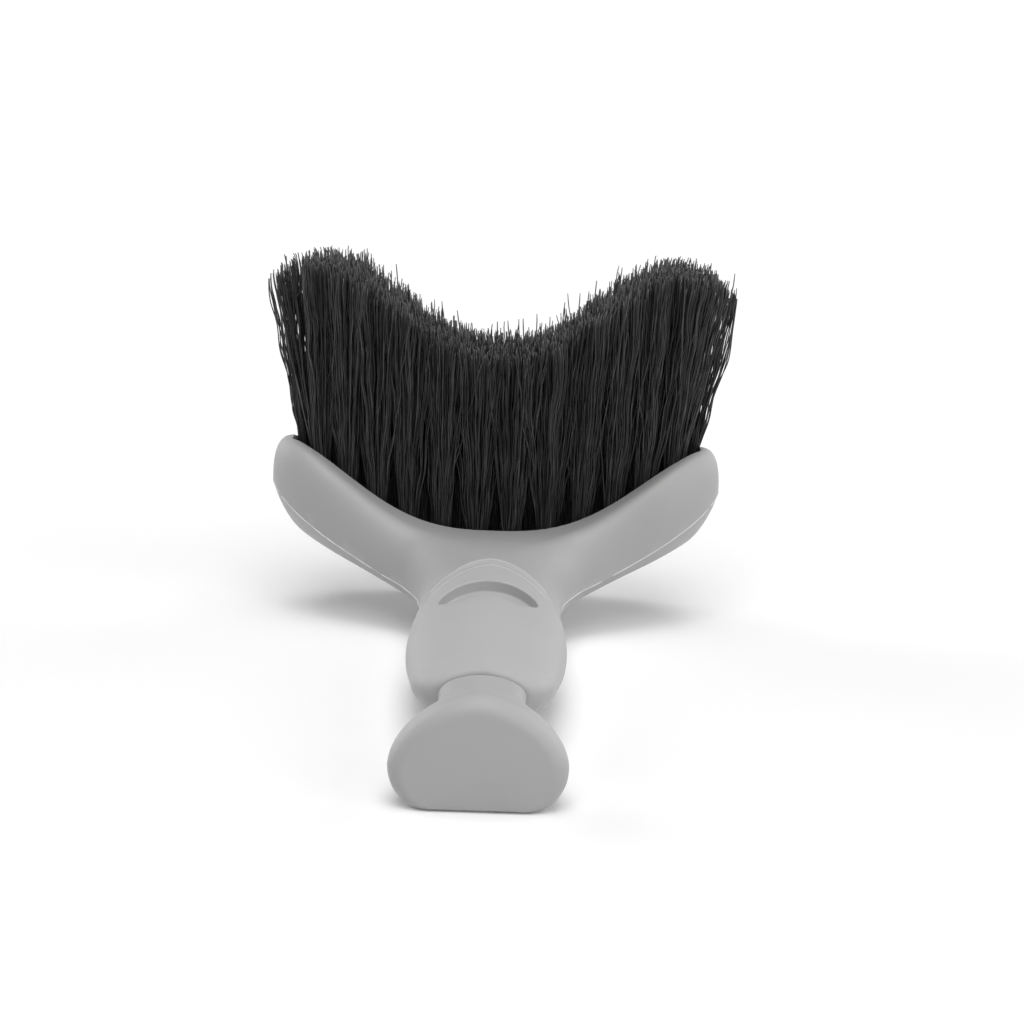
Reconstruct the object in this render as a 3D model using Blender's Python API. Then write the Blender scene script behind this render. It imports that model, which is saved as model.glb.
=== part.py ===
"""Contoured tire brush: moulded handle and horned head, soft grip sleeve, and bristle tufts set in sockets.

Lengths are in metres and angles in radians. X runs across the head, Y runs along the handle from the
pommel to the head, and Z runs up the bristles. The brush lies on the flat underside of its handle at Z = 0.
A place along the handle is measured from the pommel's end face and is called "along".
"""

import math
import random

import bmesh
import bpy
import numpy as np
from mathutils import Euler, Matrix, Vector

# Places along the handle, from the pommel's end face
POMMEL_FULL_AT = 0.0060
NECK_AT = 0.0270
SHOULDER_AT = 0.0480
GRIP_MIDDLE_AT = 0.0800
COLLAR_AT = 0.1150
HORN_TIP_AT = 0.1600
HEAD_BACK_AT = 0.1820

# Half widths of the one-piece moulding
GRIP_HALF_WIDTH = 0.0187
POMMEL_HALF_WIDTH = 0.0188
NECK_HALF_WIDTH = 0.0106
SHOULDER_HALF_WIDTH = 0.0146
COLLAR_HALF_WIDTH = 0.0173
HEAD_HALF_WIDTH = 0.0576
HEAD_BACK_HALF_WIDTH = 0.0360

# Heights along the crest, each measured from the grip's, and clearances off the ground
GRIP_HEIGHT = 0.0256
POMMEL_DROP = 0.0012
NECK_DROP = 0.0060
SHOULDER_DROP = 0.0028
COLLAR_RISE = 0.0008
LIP_DROP = 0.0011
HORN_RISE = 0.0220
NECK_LIFT = 0.0070
SHOULDER_LIFT = 0.0056

POMMEL_HEIGHT = GRIP_HEIGHT - POMMEL_DROP
NECK_HEIGHT = GRIP_HEIGHT - NECK_DROP
SHOULDER_HEIGHT = GRIP_HEIGHT - SHOULDER_DROP
COLLAR_HEIGHT = GRIP_HEIGHT + COLLAR_RISE
LIP_HEIGHT = GRIP_HEIGHT - LIP_DROP

# Outline of each horn from the collar to its tip: share of the way, share of the widening
HORN_FRONT_SHARES = (
    (0.24, 0.02),
    (0.42, 0.12),
    (0.49, 0.27),
    (0.56, 0.45),
    (0.64, 0.66),
    (0.75, 0.84),
    (0.85, 0.94),
    (0.93, 0.985),
)
# Outline from the tip round to the back: share of the way, share of the narrowing
HORN_BACK_SHARES = (
    (0.18, 0.05),
    (0.36, 0.16),
    (0.55, 0.31),
    (0.73, 0.52),
    (0.91, 0.80),
)

# Parting line, underside and roundings
POMMEL_SIDE_HEIGHT = 0.0090
NECK_SIDE_HEIGHT = 0.0128
GRIP_SIDE_HEIGHT = 0.0118
COLLAR_SIDE_HEIGHT = 0.0114
SIDE_CLIMB_FROM = 0.0175
SIDE_CLIMB_SLOPE = 0.465
HORN_TIP_CLIMB = 0.0042
HORN_TIP_POWER = 6
POMMEL_CORNER_SHARE = 0.35
GRIP_CORNER_SHARE = 0.70
FOOT_HALF_WIDTH = 0.0095
KEEL_FREE_AT = 0.0175
KEEL_SLOPE = 0.437
LIP_POWER = 1.4
HORN_EDGE_RADIUS = 0.0060
GRIP_ROUNDNESS = 2.0
HORN_ROUNDNESS = 2.8
CHAMFER_ROUNDNESS = 1.15
POMMEL_EDGE_RADIUS = 0.0038
HEAD_EDGE_RADIUS = 0.0040
FOOT_EDGE_SHARE = 0.25
BLOOM_START_AT = 0.1120
BLOOM_END_AT = 0.1460

# Mesh density of the moulding
RIM_COLUMNS = 6
DECK_COLUMNS = 6
UNDER_RIM_COLUMNS = 4
NARROW_FREE_SHARE = 0.9
NARROW_FOOT_SHARE = 0.6
EDGE_ROWS = 5
WAIST_ROWS = 9
GRIP_ROWS = 11
SADDLE_ROWS = 7
HORN_ROWS = 15
HEAD_ROWS = 5
OUTLINE_STEPS = 1600
SLOPE_STEP = 0.00001

# Soft grip sleeve, its seat and the shallow oval recess in its top
GRIP_START_AT = 0.0350
GRIP_END_AT = 0.1080
GRIP_BOW = 0.0060
GRIP_WALL = 0.0040
GROOVE_WIDTH = 0.0012
BOW_STEPS = 12
RECESS_AT = 0.0840
RECESS_HALF_WIDTH = 0.0116
RECESS_HALF_LENGTH = 0.0088
RECESS_DEPTH = 0.0031
RECESS_SIDES = 28

# Bristle field
FRONT_ROW_AT = 0.1529
ROW_PITCH = 0.0069
ROW_CURVE = 0.0060
ROW_CURVE_POWER = 3
ROW_TUFTS = (12, 13, 12, 11)
ROW_END_MARGIN = 0.0081
STRANDS_PER_TUFT = 8
PLUG_SHARE = 0.0485
PLUG_LENGTH = 0.0092
PLUG_SINK = 0.0003
FOLD_SHARE = 0.35
SOCKET_SIDES = 8
SOCKET_CLEARANCE = 0.0003
SOCKET_OVERRUN = 0.0045
ROOT_GAP = 0.00022
SPREAD_SHARE = 2.0
MIDDLE_THICKNESS_SHARE = 0.85
TIP_THICKNESS_SHARE = 0.45
SWAY = 0.00035
LIP_STEPS = 800
SPLAY = math.radians(10.5)
INNER_SPLAY_SHARE = 0.2
SPLAY_POWER = 7
LEAN = math.radians(4.0)

LONG_ROW_HALF_SPAN = HEAD_HALF_WIDTH - ROW_END_MARGIN
PLUG_RADIUS = PLUG_SHARE * LONG_ROW_HALF_SPAN

# Tray that the tufts stand in, sunk behind the lip
TRAY_DEPTH = 0.0012
TRAY_MARGIN = 0.0005
TRAY_RIM = 0.0035
TRAY_BACK_RIM = 0.0045
TRAY_COLUMNS = 28

# Trimmed face of the bristles: a valley that hugs the tire, with a hump on each side
MIDDLE_BRISTLE_LENGTH = 0.0455
TIP_RISE = 0.0214
HUMP_MARGIN = 0.0111
TIP_OVERHANG = 0.0019
TIP_END_FALL = 0.0060
TIP_POWER = 1.10
TRIM_ERROR = 0.0018
TRIM_SEED = 7

TIP_VALLEY_HEIGHT = LIP_HEIGHT + MIDDLE_BRISTLE_LENGTH
TIP_HUMP_AT = HEAD_HALF_WIDTH - HUMP_MARGIN
TIP_END_AT = HEAD_HALF_WIDTH + TIP_OVERHANG

# General
PIECE_GAP = 0.0003
CUT_OVERRUN = 0.0100
SMOOTH_ANGLE = math.radians(35.0)

HANDLE_MIDDLE = HEAD_BACK_AT / 2


def blend(start, end, share):
    return start + (end - start) * share


WIDTH_KEYS = (
    (0.0, POMMEL_HALF_WIDTH),
    (POMMEL_FULL_AT, POMMEL_HALF_WIDTH),
    (NECK_AT, NECK_HALF_WIDTH),
    (SHOULDER_AT, SHOULDER_HALF_WIDTH),
    (GRIP_MIDDLE_AT, GRIP_HALF_WIDTH),
    (COLLAR_AT, COLLAR_HALF_WIDTH),
    *(
        (blend(COLLAR_AT, HORN_TIP_AT, way), blend(COLLAR_HALF_WIDTH, HEAD_HALF_WIDTH, widening))
        for way, widening in HORN_FRONT_SHARES
    ),
    (HORN_TIP_AT, HEAD_HALF_WIDTH),
    *(
        (blend(HORN_TIP_AT, HEAD_BACK_AT, way), blend(HEAD_HALF_WIDTH, HEAD_BACK_HALF_WIDTH, narrowing))
        for way, narrowing in HORN_BACK_SHARES
    ),
    (HEAD_BACK_AT, HEAD_BACK_HALF_WIDTH),
)
CREST_KEYS = (
    (0.0, POMMEL_HEIGHT),
    (POMMEL_FULL_AT, POMMEL_HEIGHT),
    (NECK_AT, NECK_HEIGHT),
    (SHOULDER_AT, SHOULDER_HEIGHT),
    (GRIP_MIDDLE_AT, GRIP_HEIGHT),
    (COLLAR_AT, COLLAR_HEIGHT),
    (BLOOM_END_AT, LIP_HEIGHT),
    (HEAD_BACK_AT, LIP_HEIGHT),
)
LIFT_KEYS = (
    (0.0, 0.0),
    (POMMEL_FULL_AT, 0.0),
    (NECK_AT, NECK_LIFT),
    (SHOULDER_AT, SHOULDER_LIFT),
    (GRIP_MIDDLE_AT, 0.0),
    (HEAD_BACK_AT, 0.0),
)
SIDE_KEYS = (
    (0.0, POMMEL_SIDE_HEIGHT),
    (POMMEL_FULL_AT, POMMEL_SIDE_HEIGHT),
    (NECK_AT, NECK_SIDE_HEIGHT),
    (GRIP_MIDDLE_AT, GRIP_SIDE_HEIGHT),
    (COLLAR_AT, COLLAR_SIDE_HEIGHT),
    (HEAD_BACK_AT, COLLAR_SIDE_HEIGHT),
)
CORNER_KEYS = (
    (0.0, POMMEL_CORNER_SHARE),
    (POMMEL_FULL_AT, POMMEL_CORNER_SHARE),
    (NECK_AT, GRIP_CORNER_SHARE),
    (HEAD_BACK_AT, GRIP_CORNER_SHARE),
)


def smooth_step(start, end, at):
    share = min(max((at - start) / (end - start), 0.0), 1.0)
    return share * share * (3 - 2 * share)


def eased(keys, at):
    """A smooth curve through the keys that never swings past them, level at both ends."""
    if at <= keys[0][0]:
        return keys[0][1]
    if at >= keys[-1][0]:
        return keys[-1][1]
    slopes = [(b[1] - a[1]) / (b[0] - a[0]) for a, b in zip(keys, keys[1:])]
    tangents = [0.0]
    for before, after in zip(slopes, slopes[1:]):
        rising = before * after > 0
        tangents.append(2 * before * after / (before + after) if rising else 0.0)
    tangents.append(0.0)
    index = next(i for i in range(len(slopes)) if at <= keys[i + 1][0])
    (start, low), (end, high) = keys[index], keys[index + 1]
    step = end - start
    t = (at - start) / step
    curve = low * (1 + 2 * t) * (1 - t) ** 2 + high * t * t * (3 - 2 * t)
    return curve + step * (tangents[index] * t * (1 - t) ** 2 - tangents[index + 1] * t * t * (1 - t))


def half_width(along):
    return eased(WIDTH_KEYS, along)


def outline_points():
    """The moulding's outline seen from above, on its right side, as rows of (x, along)."""
    places = np.linspace(0, HEAD_BACK_AT, OUTLINE_STEPS)
    return np.array([(half_width(along), along) for along in places])


def depth_inside(x, along, outline):
    """Distance from a place inside the moulding to its outline, seen from above."""
    starts = outline[:-1]
    edges = np.diff(outline, axis=0)
    reach = np.array((x, along)) - starts
    share = np.clip((reach * edges).sum(axis=1) / (edges * edges).sum(axis=1), 0, 1)
    return float(np.linalg.norm(reach - edges * share[:, None], axis=1).min())


def bloom(along):
    """How far the round handle has opened into the horned head, from 0 to 1."""
    return smooth_step(BLOOM_START_AT, BLOOM_END_AT, along)


def deck_height(x, along):
    """Top surface before its edges are rounded: the crest, and the lip that climbs each horn."""
    share = min(abs(x) / HEAD_HALF_WIDTH, 1.0)
    climb = math.sin(math.pi / 2 * share**LIP_POWER) ** 2
    return eased(CREST_KEYS, along) + bloom(along) * HORN_RISE * climb


def keel_height(x, along):
    """Underside before its edges are rounded: a level foot below the handle, then up along each horn."""
    climb = KEEL_SLOPE * abs(x) * smooth_step(FOOT_HALF_WIDTH, KEEL_FREE_AT, abs(x))
    return eased(LIFT_KEYS, along) + bloom(along) * climb


def parting_height(x, along):
    """Height of the mould's parting line at the outline."""
    past = max(abs(x) - SIDE_CLIMB_FROM, 0.0)
    share = past / (HEAD_HALF_WIDTH - SIDE_CLIMB_FROM)
    climb = SIDE_CLIMB_SLOPE * past + HORN_TIP_CLIMB * share**HORN_TIP_POWER
    return eased(SIDE_KEYS, along) + bloom(along) * climb


def rounding(depth, radius, power):
    """Share of the full height reached at this depth inside the outline."""
    share = min(max(depth / radius, 0.0), 1.0)
    return (1 - (1 - share) ** power) ** (1 / power)


def edge_place(along, depth):
    """Place at this depth inside the outline, square to it on the head and across on the handle."""
    slope = (half_width(along + SLOPE_STEP) - half_width(along - SLOPE_STEP)) / (2 * SLOPE_STEP)
    turned = bloom(along) * (1 - smooth_step(HORN_TIP_AT, HEAD_BACK_AT - HEAD_EDGE_RADIUS, along))
    inward = Vector((-1, slope * turned)).normalized()
    return Vector((half_width(along), along)) + inward * depth


def handle_places(along, inset, count):
    """Places from the outline to the middle line, closest together at the outline."""
    width = half_width(along) - inset
    return [Vector((width * math.cos(math.pi / 2 * step / count), along)) for step in range(count + 1)]


def rim_places(along, inset, count):
    """Places down the rounded rim of the head, from the outline inwards."""
    turns = [math.pi / 2 * step / count for step in range(count + 1)]
    return [edge_place(along, inset + HORN_EDGE_RADIUS * (1 - math.cos(turn))) for turn in turns]


def top_places(along, inset):
    """Places of one row's points on the top skin, from the right edge to the middle line."""
    head = rim_places(along, inset, RIM_COLUMNS)
    inner = head[-1]
    for column in range(1, DECK_COLUMNS + 1):
        head.append(Vector((inner.x * (1 - column / DECK_COLUMNS), inner.y)))
    handle = handle_places(along, inset, len(head) - 1)
    return [a.lerp(b, bloom(along)) for a, b in zip(handle, head)]


def under_places(along, inset):
    """Places of one row's points on the underside, from the right edge to the middle line."""
    head = rim_places(along, inset, UNDER_RIM_COLUMNS)
    inner = head[-1]
    free = min(KEEL_FREE_AT, inner.x * NARROW_FREE_SHARE)
    foot = min(FOOT_HALF_WIDTH, inner.x * NARROW_FOOT_SHARE)
    head += [Vector((x, inner.y)) for x in (free, blend(foot, free, 1 / 2), foot, foot / 2, 0)]
    handle = handle_places(along, inset, len(head) - 1)
    return [a.lerp(b, bloom(along)) for a, b in zip(handle, head)]


def top_point(place, inset, depth):
    """Point on the top skin, rounded down to the parting line at the outline."""
    x, along = place
    opened = bloom(along)
    radius = blend(half_width(along) - inset, HORN_EDGE_RADIUS, opened)
    power = blend(GRIP_ROUNDNESS, HORN_ROUNDNESS, opened)
    side = parting_height(x, along)
    rise = deck_height(x, along) - inset - side
    return x, along, side + rise * rounding(depth, radius, power)


def under_point(place, inset, foot_inset, depth):
    """Point on the underside, rounded up to the parting line on the handle and chamfered on the head."""
    x, along = place
    corner = eased(CORNER_KEYS, along) * (half_width(along) - inset)
    opened = bloom(along)
    radius = blend(corner, HORN_EDGE_RADIUS, opened)
    power = blend(GRIP_ROUNDNESS, CHAMFER_ROUNDNESS, opened)
    side = parting_height(x, along)
    drop = side - keel_height(x, along) - foot_inset
    return x, along, side - drop * rounding(depth, radius, power)


def section(along, inset, foot_inset, outline):
    """Closed ring of points round the moulding, drawn in by the insets, as (x, along, z)."""
    tops = top_places(along, inset)
    unders = under_places(along, inset)
    edge = depth_inside(*tops[0], outline)
    top = [top_point(place, inset, depth_inside(*place, outline) - edge) for place in tops]
    under = [under_point(place, inset, foot_inset, depth_inside(*place, outline) - edge) for place in unders]
    right = under[:0:-1] + top
    left = [(-x, along, z) for x, along, z in reversed(right[1:-1])]
    return right + left


def edge_angles():
    return [math.pi / 2 * row / EDGE_ROWS for row in range(EDGE_ROWS)]


def moulding_rows():
    """Each row of the moulding as (along, inset): the rounded end faces, and even steps between them."""
    rows = [
        (POMMEL_EDGE_RADIUS * (1 - math.cos(a)), POMMEL_EDGE_RADIUS * (1 - math.sin(a)))
        for a in edge_angles()
    ]
    stretches = (
        (POMMEL_EDGE_RADIUS, GRIP_START_AT, WAIST_ROWS),
        (GRIP_START_AT, BLOOM_START_AT, GRIP_ROWS),
        (BLOOM_START_AT, blend(BLOOM_START_AT, BLOOM_END_AT, 1 / 2), SADDLE_ROWS),
        (blend(BLOOM_START_AT, BLOOM_END_AT, 1 / 2), HORN_TIP_AT, HORN_ROWS),
        (HORN_TIP_AT, HEAD_BACK_AT - HEAD_EDGE_RADIUS, HEAD_ROWS),
    )
    for start, end, count in stretches:
        rows += [(blend(start, end, step / count), 0.0) for step in range(count)]
    rows += [
        (
            HEAD_BACK_AT - HEAD_EDGE_RADIUS * (1 - math.cos(a)),
            HEAD_EDGE_RADIUS * (1 - math.sin(a)),
        )
        for a in reversed([*edge_angles(), math.pi / 2])
    ]
    return rows


def to_world(x, along, z):
    return Vector((x, along - HANDLE_MIDDLE, z))


def new_object(name, bm, collection):
    mesh = bpy.data.meshes.new(name)
    bm.to_mesh(mesh)
    bm.free()
    obj = bpy.data.objects.new(name, mesh)
    collection.objects.link(obj)
    return obj


def moulding(name, depth, collection):
    """The whole moulding as one loft, with its skin moved inwards by the given depth."""
    bm = bmesh.new()
    outline = outline_points()
    rings = []
    for along, inset in moulding_rows():
        foot = depth + FOOT_EDGE_SHARE * inset
        ring = section(along, depth + inset, foot, outline)
        rings.append([bm.verts.new(to_world(*point)) for point in ring])
    for near, far in zip(rings, rings[1:]):
        for i in range(len(near)):
            j = (i + 1) % len(near)
            bm.faces.new((near[i], near[j], far[j], far[i]))
    bm.faces.new(reversed(rings[0]))
    bm.faces.new(rings[-1])
    bmesh.ops.recalc_face_normals(bm, faces=bm.faces)
    return new_object(name, bm, collection)


def hide_cutter(obj):
    obj.hide_render = True
    obj.display_type = "WIRE"


def boolean(obj, operation, other):
    modifier = obj.modifiers.new(f"{operation.lower()} {other.name}", "BOOLEAN")
    modifier.operation = operation
    modifier.solver = "EXACT"
    modifier.object = other


def grip_block(name, end_gap, collection):
    """Upright block over the grip, with a bowed front and a straight back, shortened by the gap."""
    half = GRIP_HALF_WIDTH + CUT_OVERRUN
    outline = [(-half, GRIP_START_AT + end_gap), (half, GRIP_START_AT + end_gap)]
    for step in range(BOW_STEPS + 1):
        x = blend(half, -half, step / BOW_STEPS)
        bow = GRIP_BOW * max(1 - (x / GRIP_HALF_WIDTH) ** 2, 0.0)
        outline.append((x, GRIP_END_AT + bow - end_gap))
    bm = bmesh.new()
    face = bm.faces.new([bm.verts.new(to_world(x, along, -CUT_OVERRUN)) for x, along in outline])
    raised = bmesh.ops.extrude_face_region(bm, geom=[face])["geom"]
    lift = Vector((0, 0, GRIP_HEIGHT + 2 * CUT_OVERRUN))
    bmesh.ops.translate(bm, vec=lift, verts=[v for v in raised if isinstance(v, bmesh.types.BMVert)])
    bmesh.ops.recalc_face_normals(bm, faces=bm.faces)
    block = new_object(name, bm, collection)
    hide_cutter(block)
    return block


def recess_cutter(collection):
    """Oval plug that stops at an even depth below the grip's skin."""
    bm = bmesh.new()
    middle = to_world(0, RECESS_AT, GRIP_HEIGHT)
    shape = Matrix.Translation(middle) @ Matrix.Diagonal((RECESS_HALF_WIDTH, RECESS_HALF_LENGTH, 1, 1))
    bmesh.ops.create_cone(
        bm,
        cap_ends=True,
        segments=RECESS_SIDES,
        radius1=1,
        radius2=1,
        depth=GRIP_HEIGHT,
        matrix=shape,
    )
    cutter = new_object("recess_cutter", bm, collection)
    floor = moulding("recess_floor", RECESS_DEPTH, collection)
    hide_cutter(floor)
    boolean(cutter, "DIFFERENCE", floor)
    hide_cutter(cutter)
    return cutter


def tray_height(x):
    """Floor of the tray, which the sockets open into."""
    return deck_height(x, FRONT_ROW_AT) - TRAY_DEPTH


def row_at(row, x):
    """Place of a row along the handle: its ends curve back with the horns, less in each row behind."""
    curve = ROW_CURVE * (1 - row / (len(ROW_TUFTS) - 1))
    return FRONT_ROW_AT + row * ROW_PITCH + curve * abs(x / LONG_ROW_HALF_SPAN) ** ROW_CURVE_POWER


def tray_cutter(collection):
    """Shallow tray along the lip, with its front edge along the front row and a rim left behind it."""
    bm = bmesh.new()
    outline = outline_points()
    reach = PLUG_RADIUS + TRAY_MARGIN
    half = LONG_ROW_HALF_SPAN + reach
    columns = []
    for step in range(TRAY_COLUMNS + 1):
        x = blend(-half, half, step / TRAY_COLUMNS)
        front = row_at(0, x) - reach
        widest = outline[outline[:, 0] >= abs(x) + TRAY_RIM, 1].max()
        back = min(widest, HEAD_BACK_AT - TRAY_BACK_RIM)
        floor = tray_height(x)
        corners = ((front, floor), (back, floor), (back, floor + CUT_OVERRUN), (front, floor + CUT_OVERRUN))
        columns.append([bm.verts.new(to_world(x, *corner)) for corner in corners])
    for near, far in zip(columns, columns[1:]):
        for i in range(len(near)):
            j = (i + 1) % len(near)
            bm.faces.new((near[i], near[j], far[j], far[i]))
    bm.faces.new(columns[0])
    bm.faces.new(reversed(columns[-1]))
    bmesh.ops.recalc_face_normals(bm, faces=bm.faces)
    cutter = new_object("bristle_tray", bm, collection)
    hide_cutter(cutter)
    return cutter


def lip_places(count):
    """Evenly spaced places along the curved lip, as distances across the head."""
    steps = LIP_STEPS
    across = [blend(-LONG_ROW_HALF_SPAN, LONG_ROW_HALF_SPAN, i / steps) for i in range(steps + 1)]
    points = [(x, tray_height(x)) for x in across]
    lengths = [0.0]
    for a, b in zip(points, points[1:]):
        lengths.append(lengths[-1] + math.dist(a, b))
    most = max(ROW_TUFTS)
    pitch = lengths[-1] / (most - 1)
    first = (most - count) * pitch / 2
    places = []
    for i in range(count):
        wanted = first + i * pitch
        places.append(across[min(range(steps + 1), key=lambda k: abs(lengths[k] - wanted))])
    return places


def tip_height(x):
    """Height of the trimmed bristle face over this place across the head."""
    share = min(abs(x) / TIP_HUMP_AT, 1.0)
    past = max(abs(x) - TIP_HUMP_AT, 0.0) / (TIP_END_AT - TIP_HUMP_AT)
    rise = math.sin(math.pi / 2 * share**TIP_POWER) ** 2
    return TIP_VALLEY_HEIGHT + TIP_RISE * rise - TIP_END_FALL * past * past


def splay(x):
    """Sideways tilt of a tuft: slight in the middle of the head, and full only at its ends."""
    way = x / LONG_ROW_HALF_SPAN
    return SPLAY * blend(way**SPLAY_POWER, way, INNER_SPLAY_SHARE)


def tuft_frames():
    """Each tuft's name with the frame of its socket: origin in its mouth, Z out along the bristles."""
    frames = []
    for row, count in enumerate(ROW_TUFTS):
        lean = LEAN * (2 * row / (len(ROW_TUFTS) - 1) - 1)
        for number, x in enumerate(lip_places(count), 1):
            turn = Euler((-lean, splay(x), 0))
            place = to_world(x, row_at(row, x), tray_height(x))
            frame = Matrix.LocRotScale(place, turn, None)
            frames.append((f"bristle_tuft_row{row + 1}_{number:02d}", frame))
    return frames


def socket_cutter(frames, collection):
    """All blind sockets as one set of separate cylinders."""
    bm = bmesh.new()
    depth = PLUG_SINK + PLUG_LENGTH + SOCKET_CLEARANCE
    middle = Matrix.Translation((0, 0, (SOCKET_OVERRUN - depth) / 2))
    for _, frame in frames:
        bmesh.ops.create_cone(
            bm,
            cap_ends=True,
            segments=SOCKET_SIDES,
            radius1=PLUG_RADIUS + SOCKET_CLEARANCE,
            radius2=PLUG_RADIUS + SOCKET_CLEARANCE,
            depth=depth + SOCKET_OVERRUN,
            matrix=frame @ middle,
        )
    cutter = new_object("tuft_sockets", bm, collection)
    hide_cutter(cutter)
    return cutter


def strand_length(frame, foot, trim):
    """Length along the tuft's Z that puts a strand's tip on the trimmed face."""
    start = frame @ foot
    rise = frame.to_3x3() @ Vector((0, 0, 1))
    length = 0.0
    for _ in range(3):
        x = start.x + rise.x * length
        length = (tip_height(x) + trim - start.z) / rise.z
    return length


def tuft(name, frame, chance, collection):
    """One bundle: a plug folded to a wedge at its foot, and a fan of strands growing out of its top."""
    bm = bmesh.new()
    bmesh.ops.create_cone(
        bm,
        cap_ends=True,
        cap_tris=True,
        segments=STRANDS_PER_TUFT,
        radius1=PLUG_RADIUS,
        radius2=PLUG_RADIUS,
        depth=PLUG_LENGTH,
        matrix=Matrix.Translation((0, 0, -PLUG_SINK - PLUG_LENGTH / 2)),
    )
    for vertex in bm.verts:
        if vertex.co.z < -PLUG_LENGTH / 2:
            vertex.co.y *= FOLD_SHARE
    bm.normal_update()
    roots = [face for face in bm.faces if face.normal.z > 1 / 2]
    bmesh.ops.inset_individual(bm, faces=roots, thickness=ROOT_GAP, use_even_offset=True)
    trims = [chance.uniform(-TRIM_ERROR, TRIM_ERROR) for _ in roots]
    sways = [Vector((chance.uniform(-SWAY, SWAY), chance.uniform(-SWAY, SWAY), 0)) for _ in roots]
    feet = [face.calc_center_median() for face in roots]
    thickness = 1.0
    for way, target in ((1 / 2, MIDDLE_THICKNESS_SHARE), (1.0, TIP_THICKNESS_SHARE)):
        grown = []
        for face, foot, trim, sway in zip(roots, feet, trims, sways):
            new = bmesh.ops.extrude_discrete_faces(bm, faces=[face])["faces"][0]
            spread = foot * blend(1, SPREAD_SHARE, way)
            bend = sway * math.sin(math.pi * way)
            length = strand_length(frame, Vector((spread.x, spread.y, 0)), trim)
            centre = Vector((spread.x, spread.y, 0)) + bend + Vector((0, 0, way * length))
            old = new.calc_center_median()
            for vertex in new.verts:
                vertex.co = centre + (vertex.co - old) * target / thickness
            grown.append(new)
        roots = grown
        thickness = target
    bundle = new_object(name, bm, collection)
    bundle.matrix_world = frame
    return bundle


def material(name, colour, roughness):
    made = bpy.data.materials.new(name)
    made.use_nodes = True
    shader = made.node_tree.nodes["Principled BSDF"]
    shader.inputs["Base Color"].default_value = (*colour, 1)
    shader.inputs["Roughness"].default_value = roughness
    shader.inputs["Metallic"].default_value = 0
    return made


def finish(obj, surface, parent):
    obj.data.materials.clear()
    obj.data.materials.append(surface)
    obj.data.shade_smooth()
    obj.data.set_sharp_from_angle(angle=SMOOTH_ANGLE)
    place = obj.matrix_world.copy()
    obj.parent = parent
    obj.matrix_world = place


def clear_scene():
    for obj in list(bpy.data.objects):
        bpy.data.objects.remove(obj)


def new_collection(name):
    made = bpy.data.collections.new(name)
    bpy.context.scene.collection.children.link(made)
    return made


def build():
    clear_scene()
    parts = new_collection("tire_brush")
    cutters = new_collection("cutters")
    brush = bpy.data.objects.new("brush", None)
    parts.objects.link(brush)

    frames = tuft_frames()

    handle = moulding("handle_and_head", 0, parts)
    seat = grip_block("grip_seat", 0, cutters)
    core = moulding("grip_core", GRIP_WALL + PIECE_GAP, cutters)
    hide_cutter(core)
    boolean(seat, "DIFFERENCE", core)
    boolean(handle, "DIFFERENCE", seat)
    boolean(handle, "DIFFERENCE", tray_cutter(cutters))
    boolean(handle, "DIFFERENCE", socket_cutter(frames, cutters))

    grip = moulding("soft_grip", 0, parts)
    boolean(grip, "INTERSECT", grip_block("grip_length", GROOVE_WIDTH, cutters))
    bore = moulding("grip_bore", GRIP_WALL, cutters)
    hide_cutter(bore)
    boolean(grip, "DIFFERENCE", bore)
    boolean(grip, "DIFFERENCE", recess_cutter(cutters))

    finish(handle, material("moulded_plastic", (0.36, 0.36, 0.36), 0.5), brush)
    finish(grip, material("soft_grip_rubber", (0.38, 0.38, 0.38), 0.6), brush)
    black = material("bristle", (0.02, 0.02, 0.02), 0.5)
    chance = random.Random(TRIM_SEED)
    for name, frame in frames:
        finish(tuft(name, frame, chance, parts), black, brush)


build()
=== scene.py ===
import math

import bmesh
import bpy
import numpy as np
from mathutils import Euler, Matrix, Vector


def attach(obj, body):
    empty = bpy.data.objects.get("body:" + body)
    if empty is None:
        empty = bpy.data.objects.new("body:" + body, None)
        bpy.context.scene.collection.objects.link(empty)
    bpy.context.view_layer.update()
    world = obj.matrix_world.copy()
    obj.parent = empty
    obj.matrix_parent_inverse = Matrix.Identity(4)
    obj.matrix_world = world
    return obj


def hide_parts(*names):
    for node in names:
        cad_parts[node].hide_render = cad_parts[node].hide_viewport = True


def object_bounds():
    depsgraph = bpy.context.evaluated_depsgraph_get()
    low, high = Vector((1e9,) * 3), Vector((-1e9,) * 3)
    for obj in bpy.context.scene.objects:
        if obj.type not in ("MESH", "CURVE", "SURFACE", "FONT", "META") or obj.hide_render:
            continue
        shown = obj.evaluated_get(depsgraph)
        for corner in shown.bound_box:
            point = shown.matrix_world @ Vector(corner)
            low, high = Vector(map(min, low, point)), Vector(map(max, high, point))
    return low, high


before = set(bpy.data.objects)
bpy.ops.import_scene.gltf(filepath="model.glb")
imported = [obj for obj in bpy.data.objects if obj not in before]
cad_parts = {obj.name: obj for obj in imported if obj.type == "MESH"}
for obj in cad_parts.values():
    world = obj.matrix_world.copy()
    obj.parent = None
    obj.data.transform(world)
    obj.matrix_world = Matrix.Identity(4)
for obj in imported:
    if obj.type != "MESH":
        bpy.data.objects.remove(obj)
CAD_LOW, CAD_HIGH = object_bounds()

# Places along the handle, from the pommel's end face
POMMEL_FULL_AT = 0.0060
POMMEL_BACK_AT = 0.0110
DIP_AT = 0.0200
NECK_AT = 0.0280
NECK_END_AT = 0.0338
STEP_AT = 0.0375
STEP_END_AT = 0.0425
SHOULDER_AT = 0.0480
GRIP_MIDDLE_AT = 0.0800
COLLAR_AT = 0.1150
HORN_TIP_AT = 0.1600
HEAD_BACK_AT = 0.1820
HANDLE_MIDDLE = HEAD_BACK_AT / 2

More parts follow.
